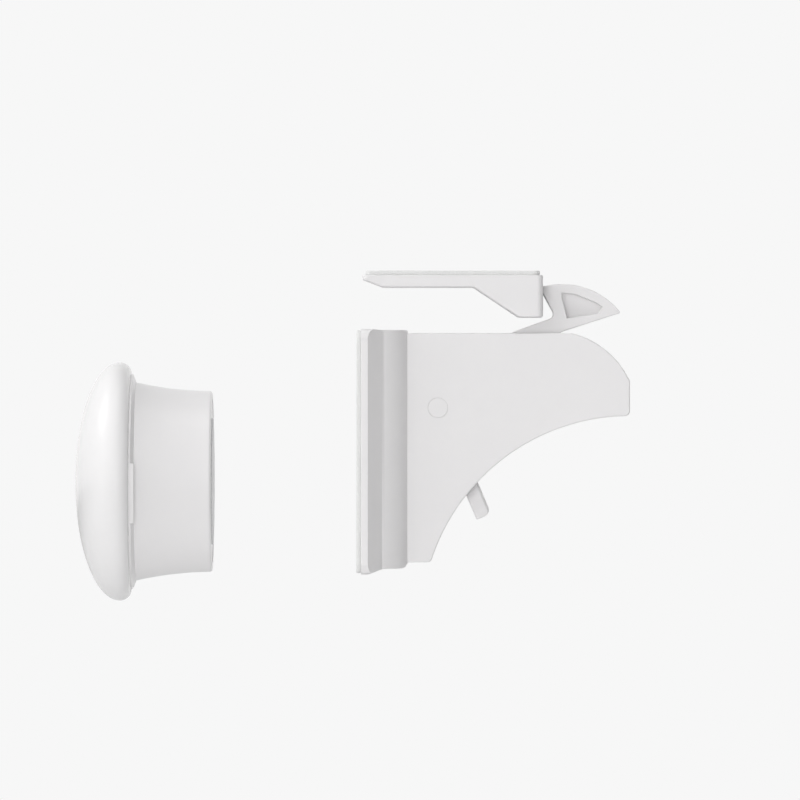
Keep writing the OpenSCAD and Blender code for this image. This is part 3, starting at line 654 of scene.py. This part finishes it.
mouth_x = tube_high.x
neck_x = COLLAR_X + COLLAR_HEIGHT
partition_x = SEAM_X + PARTITION
bevel_x = mouth_x - MOUTH_BEVEL
STATIONS = 24
outer = [bevel_x + (neck_x - bevel_x) * i / STATIONS for i in range(STATIONS + 1)]
inner = [partition_x + (mouth_x - partition_x) * i / STATIONS for i in range(STATIONS + 1)]
radii = [(partition_x, 0)] + [(x, flare(x, TUBE_WALL)) for x in inner]
radii += [(mouth_x, flare(mouth_x) - MOUTH_BEVEL)] + [(x, flare(x)) for x in outer]
radii += [(COLLAR_X + COLLAR_LAND, COLLAR_RADIUS), (COLLAR_X, COLLAR_RADIUS), (COLLAR_X, SPIGOT_RADIUS),
          (tube_low.x, SPIGOT_RADIUS), (tube_low.x, SPIGOT_RADIUS - SPIGOT_WALL),
          (SEAM_X, SPIGOT_RADIUS - SPIGOT_WALL), (SEAM_X, 0)]
tube = draw_section("key_tube", [(x, KEY_AXIS + r) for x, r in radii])
turn_round(tube, KEY_AXIS, TURN_STEPS)
print("tube section points:", len(radii))

# %% The lugs bridge the collar on both sides
LUG_WIDTH = 13.7 * MM
LUG_TURN = 6                 # degrees that the lugs are turned from level
LUG_STEPS = 16

half_angle = math.asin(LUG_WIDTH / 2 / COLLAR_RADIUS)
lug_root = flare(neck_x) - TUBE_WALL / 2
for side in (1, -1):
    lug = draw_section("lug", [(neck_x, KEY_AXIS + lug_root), (neck_x, KEY_AXIS + COLLAR_RADIUS),
                               (COLLAR_X, KEY_AXIS + COLLAR_RADIUS), (COLLAR_X, KEY_AXIS + lug_root)])
    pick(lug, "VERT", everything)
    bpy.ops.mesh.edge_face_add()
    middle = math.radians(90 * side + LUG_TURN)
    bpy.ops.transform.rotate(value=-(middle + half_angle), orient_axis="X",
                             center_override=(0, 0, KEY_AXIS))
    bpy.ops.mesh.spin(steps=LUG_STEPS, angle=2 * half_angle, center=(0, 0, KEY_AXIS), axis=(1, 0, 0))
    bpy.ops.mesh.select_all(action="SELECT")
    bpy.ops.mesh.normals_make_consistent(inside=False)
    bpy.ops.object.mode_set(mode="OBJECT")
    print("lug spans in mm:", [round(v / MM, 1) for v in (*lug.bound_box[0], *lug.bound_box[6])])
    combine(tube, lug, "UNION")

for index in range(KEY_SCREWS):
    y, z = around_key(index)
    combine(tube, rod("hole", SEAM_X - OVERRUN, y, z, SCREW_HOLE, PARTITION + 2 * OVERRUN), "DIFFERENCE")

round_off(tube, lambda e: at_station(e, mouth_x, flare(mouth_x) - MOUTH_BEVEL), LIP_ROUND, 2)
round_off(tube, lambda e: at_station(e, bevel_x, flare(bevel_x)), BEVEL_ROUND, 2)
round_off(tube, lambda e: at_station(e, mouth_x, flare(mouth_x, TUBE_WALL)), LIP_ROUND, 2)
complete(tube, "key", "satin_plastic", "key_body")

# %% [markdown]
# ## The key's face
# A disc closes the tube's mouth, and a thin felt stuck into its recess keeps the door from scratches. The
# disc is a cylinder whose front is inset and pushed in, and the felt is a slightly thicker disc whose cut
# edge is soft.

# %% The end plate and the felt
plate_low, plate_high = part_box("key_end_plate")
FELT_SLIP = 0.15 * MM        # gap round the felt in its recess
PLATE_ROUND = 0.15 * MM
FELT_ROUND = 0.22 * MM
DISC_STEPS = 128
plate_radius = (plate_high.z - plate_low.z) / 2
felt_radius = (pad_high.z - pad_low.z) / 2

plate = rod("key_face_plate", plate_low.x, 0, KEY_AXIS, plate_radius, plate_high.x - plate_low.x,
            DISC_STEPS)
pick(plate, "FACE", looks_forward)
bpy.ops.mesh.inset(thickness=plate_radius - felt_radius - FELT_SLIP)
bpy.ops.mesh.extrude_region_move(TRANSFORM_OT_translate={"value": (pad_low.x - plate_high.x, 0, 0)})
bpy.ops.object.mode_set(mode="OBJECT")
round_off(plate, sharp, PLATE_ROUND, 2)
complete(plate, "key", "satin_plastic", "key_end_plate")

felt_disc = rod("key_felt", pad_low.x, 0, KEY_AXIS, felt_radius, pad_high.x - pad_low.x, DISC_STEPS)
round_off(felt_disc, sharp, FELT_ROUND, 4)
complete(felt_disc, "key", "felt", "key_face_pad")

# %% [markdown]
# ## The plain mouldings
# The housing, the latch, the catch and the plugs over the pin already have their form in the frame. What
# they lack is what every mould gives: small rounds on the edges, which catch the light and draw the
# outline. A copy of each node is merged into one skin, its flat faces are made whole, and only then are
# its edges rounded. The latch alone is changed first, because its model has a slit of no width at the
# hook's foot and a tip that is sharper than the real one.

# %% A moulding from the frame
SKIN_MERGE = 0.0005 * MM     # a node's loose triangles share their corners within this
FLAT_ANGLE = 0.4             # degrees up to which two faces count as one flat face


def moulding_of(node, name):
    """A merged copy of a node's mesh, with its flat faces made whole."""
    piece = bpy.data.objects.new(name, frame["nodes"][node].data.copy())
    piece.data.name = name
    bpy.context.scene.collection.objects.link(piece)
    pick(piece, "VERT", everything)
    bpy.ops.mesh.customdata_custom_splitnormals_clear()
    bpy.ops.mesh.remove_doubles(threshold=SKIN_MERGE)
    bpy.ops.mesh.select_all(action="SELECT")
    bpy.ops.mesh.dissolve_limited(angle_limit=math.radians(FLAT_ANGLE), delimit={"NORMAL"})
    bpy.ops.object.mode_set(mode="OBJECT")
    loose = sum(e.is_loose for e in piece.data.edges)
    print(name, "faces:", len(piece.data.polygons), "loose edges:", loose)
    return piece


housing = moulding_of("housing", "lock_housing")
latch = moulding_of("latch_arm", "hook_and_lever")
catch = moulding_of("catch_body", "catch_shell")
caps = moulding_of("pin_caps", "pin_plugs")

# %% The catch
CATCH_ROUND = 0.3 * MM

round_off(catch, sharp, CATCH_ROUND)
complete(catch, "catch", "satin_plastic", "catch_body")

# %% The latch
# Behind the round corner at the hook's foot the model's outline leaves a slit of no width. Its end is drawn
# back to its mouth and merges with it.
SLIT_END = Vector((45.662, 0, 30.920)) * MM
SLIT_MOUTH = Vector((44.999, 0, 32.142)) * MM
SLIT_SLACK = 0.02 * MM
SLIT_MERGE = 0.004 * MM

slit_points = pick(latch, "VERT", lambda v: (Vector((v.co.x, 0, v.co.z)) - SLIT_END).length < SLIT_SLACK)
bpy.ops.transform.translate(value=SLIT_MOUTH - SLIT_END)
bpy.ops.mesh.select_all(action="SELECT")
bpy.ops.mesh.remove_doubles(threshold=SLIT_MERGE)
bpy.ops.object.mode_set(mode="OBJECT")
print("slit points drawn back:", slit_points)

# A sharp tip would break in use, so it has a larger round than the other edges
TIP_X = 60.5 * MM            # the tip lies beyond this
TIP_ROUND = 0.5 * MM
LATCH_ROUND = 0.22 * MM
LATCH_ROOM = 1.4 * MM        # how wide a face is beside an edge that gets a round

tip_edges = round_off(latch, lambda e: all(v.co.x > TIP_X for v in e.verts), TIP_ROUND, 5)
rim_edges = round_off(latch, roomy_rim(LATCH_ROOM), LATCH_ROUND, clamp=False)
print("latch edges rounded, tip and rims:", tip_edges, rim_edges)
complete(latch, "latch", "satin_plastic", "latch_arm")

# %% The housing
HOUSING_ROUND = 0.35 * MM
HOUSING_ROOM = 1.5 * MM

round_off(housing, roomy_rim(HOUSING_ROOM), HOUSING_ROUND, clamp=False)
complete(housing, "lock", "satin_plastic", "housing")

# %% The pin's plugs
PLUG_ROUND = 0.12 * MM

round_off(caps, sharp, PLUG_ROUND, 2)
complete(caps, "lock", "satin_plastic", "pin_caps")

# %% [markdown]
# ## The pieces inside
# The back plate, the pin, the magnets with their cup, lid and sleeve are out of sight in the closed object,
# but whoever takes it apart sees them. They are plain shapes whose edges are broken: turned steel has a
# small chamfer, a plated magnet a full round, and a moulding a slight one.

# %% Broken edges
INSIDE = {                   # node: name of the piece, its body, and the radius of its edges in mm
    "base_plate": ("back_plate", "lock", 0.2),
    "pivot_pin": ("latch_pin", "lock", 0.2),
    "latch_magnet": ("latch_disc_magnet", "latch", 0.25),
    "magnet_cover": ("magnet_lid", "latch", 0.15),
    "key_magnet": ("key_disc_magnet", "key", 0.4),
    "key_pole_cup": ("steel_cup", "key", 0.3),
    "key_magnet_holder": ("magnet_sleeve", "key", 0.25),
}
ROOM_PER_ROUND = 1.5         # a face beside a rounded edge is at least so many times as wide as the round

for node, (name, body, radius) in INSIDE.items():
    piece = moulding_of(node, name)
    round_off(piece, roomy_rim(ROOM_PER_ROUND * radius * MM), radius * MM, clamp=False)
    complete(piece, body, SLOTS[node], node)

# %% [markdown]
# ## The foam pads
# The lock and the catch are stuck on with closed-cell foam tape. It is cut with a die and flat where it is
# stuck, but the foam swells a little at its rim, where nothing holds it. Each pad is a copy of the node, cut
# once at half its thickness. That middle line is spread, and then all of the rim is rounded.

# %% The pads
PAD_SWELL = 0.12 * MM        # how far the rim's middle stands out
PAD_ROUND = 0.12 * MM
PAD_SHARP = 12               # degrees, so that the rim's blunt middle line is rounded too
MIDDLE_SLACK = 0.01 * MM


def foam_pad(node, name, body, thin_axis):
    """A pad of foam tape, from a node that is thinnest along one axis."""
    pad = moulding_of(node, name)
    low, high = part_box(node)
    middle = (low + high) / 2
    way = Vector([float(axis == thin_axis) for axis in range(3)])
    pick(pad, "VERT", everything)
    bpy.ops.mesh.bisect(plane_co=middle, plane_no=way)
    pick(pad, "VERT", lambda v: abs((v.co - middle).dot(way)) < MIDDLE_SLACK)
    stretch = [1 + (0 if axis == thin_axis else 2 * PAD_SWELL / (high - low)[axis]) for axis in range(3)]
    bpy.ops.transform.resize(value=stretch, center_override=middle)
    bpy.ops.object.mode_set(mode="OBJECT")
    round_off(pad, lambda e: sharp(e, PAD_SHARP), PAD_ROUND)
    complete(pad, body, "foam_tape", node)


foam_pad("lock_adhesive_pad", "lock_foam_pad", "lock", 0)
foam_pad("catch_adhesive_pad", "catch_foam_pad", "catch", 2)

# %% [markdown]
# ## The return spring
# A torsion spring lifts the hook: one leg stands on a rib of the housing, the coil turns nearly three times
# round the latch's hub, and the other leg pushes under a post on the arm. Wire is one round section along
# a path, so its middle line is drawn, made a curve and given its thickness. When the latch turns, the coil
# winds up between its two ends.

# %% The spring
pin_low, pin_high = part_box("pivot_pin")
pivot = (pin_low + pin_high) / 2
WIRE = 0.6 * MM
COIL_RADIUS = 3.9 * MM
COIL_PITCH = 1.05 * MM       # step of one turn along the pin
COIL_START_Y = 7.95 * MM
COIL_TURN = 1028             # degrees from one leg to the other
COIL_STEPS = 120
HOUSING_LEG = 10 * MM
LATCH_LEG = 13 * MM


def on_coil(turn):
    """A point of the coil's middle line, so many degrees after its start."""
    return Vector((pivot.x + COIL_RADIUS * math.cos(math.radians(turn)),
                   COIL_START_Y - COIL_PITCH * turn / 360,
                   pivot.z + COIL_RADIUS * math.sin(math.radians(turn))))


coil = [on_coil(COIL_TURN * i / COIL_STEPS) for i in range(COIL_STEPS + 1)]
leg_way = Vector((-math.sin(math.radians(COIL_TURN)), 0, math.cos(math.radians(COIL_TURN))))
spring = draw_line("wire_spring",
                   [coil[0] - Vector((0, 0, HOUSING_LEG))] + coil + [coil[-1] + leg_way * LATCH_LEG])
bpy.ops.object.convert(target="CURVE")
spring.data.bevel_depth = WIRE / 2
spring.data.bevel_resolution = 2
spring.data.use_fill_caps = True
bpy.ops.object.convert(target="MESH")
spring = named(bpy.context.object, "wire_spring")
shade(spring)
dress(spring, "spring_wire")
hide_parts("return_spring")
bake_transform(spring)
print("spring faces:", len(spring.data.polygons))

# %% [markdown]
# ## The screws
# Small screws for plastic have a coarse thread on a thin core, a cone at the tip and a cross recess. One of
# each kind is made at the origin: the body is turned, the thread is a small triangle swept by the Screw
# modifier, and two crossed wedges cut the recess. Then it is copied to its places.

# %% Making one screw
SCREW_STEPS = 32             # faces round a screw's body
THREAD_STEPS = 24            # and in one turn of its thread
THREAD_TOP, THREAD_FOOT = 0.28, 0.56    # where a thread's crest and its far foot lie, as shares of its pitch
THREAD_SINK = 0.08 * MM      # how deep the thread's foot lies in the core
CROSS_SKIN = 0.1 * MM        # how far the cross's cutter starts above the head
CROSS_TAPER = 0.3            # the cross's size at its bottom, as a share of that at its top


def move(piece, value):
    """Moves a piece's mesh, while its object stays at the origin."""
    pick(piece, "VERT", everything)
    bpy.ops.transform.translate(value=value)
    bpy.ops.object.mode_set(mode="OBJECT")


def join_all(pieces, name):
    """Joins several pieces into the first of them."""
    bpy.ops.object.select_all(action="DESELECT")
    for piece in pieces:
        piece.select_set(True)
    bpy.context.view_layer.objects.active = pieces[0]
    bpy.ops.object.join()
    return named(pieces[0], name)


def cross_head_screw(name, head, core, crest, length, pitch, cross):
    """A screw along +X whose head bears at x = 0. The head's outline is given as (x, radius), and its cross
    as depth, reach and width."""
    screw = draw_section(name, head + [(head[-1][0], core), (length - 2 * core, core), (length, 0)])
    turn_round(screw, 0, SCREW_STEPS)
    depth, reach, width = cross
    top = head[0][0] - CROSS_SKIN
    for turn in (0, 90):
        bpy.ops.object.select_all(action="DESELECT")
        bpy.ops.mesh.primitive_cube_add(size=1, location=(top + depth / 2, 0, 0), scale=(depth, reach, width),
                                        rotation=(math.radians(turn), 0, 0))
        wedge = named(bpy.context.object, "wedge")
        bpy.ops.object.transform_apply(location=True, rotation=True, scale=True)
        pick(wedge, "FACE", looks_forward)
        bpy.ops.transform.resize(value=(1, CROSS_TAPER, CROSS_TAPER), center_override=(top + depth, 0, 0))
        bpy.ops.object.mode_set(mode="OBJECT")
        combine(screw, wedge, "DIFFERENCE")

    start = head[-1][0] + pitch / 4
    root = core - THREAD_SINK
    thread = draw_line("thread", [(start, 0, root), (start + pitch * THREAD_TOP, 0, crest),
                                  (start + pitch * THREAD_FOOT, 0, root), (start, 0, root)])
    pick(thread, "VERT", everything)
    bpy.ops.mesh.remove_doubles(threshold=MERGE)
    bpy.ops.object.mode_set(mode="OBJECT")
    sweep = thread.modifiers.new("turns", "SCREW")
    sweep.axis = "X"
    sweep.screw_offset = pitch
    sweep.iterations = int((length - 2 * core - start) / pitch)
    sweep.steps = sweep.render_steps = THREAD_STEPS
    bpy.ops.object.modifier_apply(modifier=sweep.name)
    pick(thread, "VERT", everything)
    bpy.ops.mesh.fill_holes(sides=3)
    bpy.ops.mesh.select_all(action="SELECT")
    bpy.ops.mesh.normals_make_consistent(inside=False)
    bpy.ops.object.mode_set(mode="OBJECT")
    return join_all([screw, thread], name)


def set_of(screw, places, name):
    """Copies a screw to each of its places and joins the set."""
    copies = []
    for place in places:
        bpy.ops.object.select_all(action="DESELECT")
        screw.select_set(True)
        bpy.context.view_layer.objects.active = screw
        bpy.ops.object.duplicate()
        copies.append(bpy.context.object)
        move(copies[-1], place)
    bpy.data.meshes.remove(screw.data)
    return join_all(copies, name)


# %% The back plate's four screws
screws_low, screws_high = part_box("housing_screws")
SUNK_HEAD = 2.1 * MM
side, height = screws_high.y - SUNK_HEAD, screws_high.z - SUNK_HEAD
small = cross_head_screw("plate_screw", head=[(0, 0), (0, SUNK_HEAD), (1.1 * MM, 1.1 * MM)],
                         core=0.8 * MM, crest=1.08 * MM, length=screws_high.x - screws_low.x,
                         pitch=0.8 * MM, cross=(0.9 * MM, 2.3 * MM, 0.5 * MM))
plate_screws = set_of(small, [(screws_low.x, side * a, height * b) for a in (1, -1) for b in (1, -1)],
                      "plate_screws")
complete(plate_screws, "lock", "zinc_screw", "housing_screws")

# %% The key's three screws
screws_low, screws_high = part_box("key_screws")
PAN = 1.8 * MM               # height of the head
pan_head = [(-PAN, 0), (-PAN, 1 * MM), (-0.9 * PAN, 1.7 * MM), (-0.68 * PAN, 2.2 * MM),
            (-0.4 * PAN, 2.5 * MM), (0, 2.5 * MM)]
large = cross_head_screw("cap_screw", head=pan_head, core=1.05 * MM, crest=1.38 * MM,
                         length=screws_high.x - screws_low.x - PAN, pitch=1.1 * MM,
                         cross=(1.3 * MM, 3.0 * MM, 0.6 * MM))
pick(large, "VERT", everything)
bpy.ops.transform.rotate(value=math.pi, orient_axis="Z", center_override=(0, 0, 0))
bpy.ops.object.mode_set(mode="OBJECT")
cap_screws = set_of(large, [(screws_high.x - PAN, *around_key(index)) for index in range(KEY_SCREWS)],
                    "cap_screws")
complete(cap_screws, "key", "zinc_screw", "key_screws")
